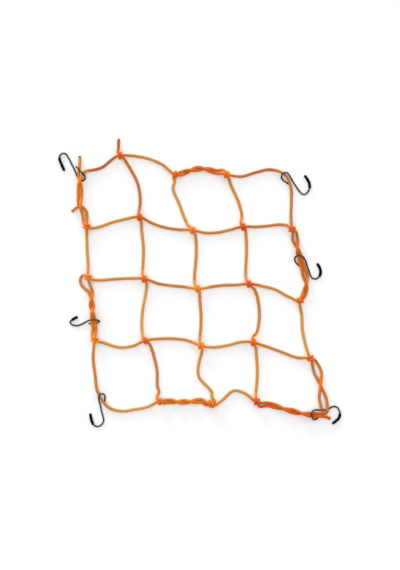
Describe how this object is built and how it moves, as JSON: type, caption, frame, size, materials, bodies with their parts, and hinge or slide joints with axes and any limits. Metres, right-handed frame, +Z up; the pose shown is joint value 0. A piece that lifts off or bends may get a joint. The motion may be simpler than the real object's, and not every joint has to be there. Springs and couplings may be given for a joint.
{
  "type": "elastic cargo net with hooks",
  "caption": "Flat elastic cargo net of round cord, knotted in a square grid, with bent-wire S-hooks clipped round its border.",
  "frame": {"origin": "centre of the bounding box at the surface on which the net lies", "axes": "+Z up from the surface; +Y towards the border with the two corner hooks at its ends, +X to the right seen from above"},
  "size_m": [0.4526, 0.4608, 0.0131],
  "materials": {
    "orange_cord": "braided polyester sheath, slightly glossy",
    "hook_steel": "dark plated bent wire",
    "tip_coating": "dipped glossy black vinyl"
  },
  "bodies": {
    "root": {"border_cord": "orange_cord", "column_cord": "orange_cord", "row_cord": "orange_cord", "hook_top_left": "hook_steel", "hook_top_right": "hook_steel", "hook_left_middle": "hook_steel", "hook_right_middle": "hook_steel", "hook_bottom_left": "hook_steel", "hook_bottom_right": "hook_steel", "tip_top_left": "tip_coating", "tip_top_right": "tip_coating", "tip_left_middle": "tip_coating", "tip_right_middle": "tip_coating", "tip_bottom_left": "tip_coating", "tip_bottom_right": "tip_coating"}
  },
  "joints": []
}
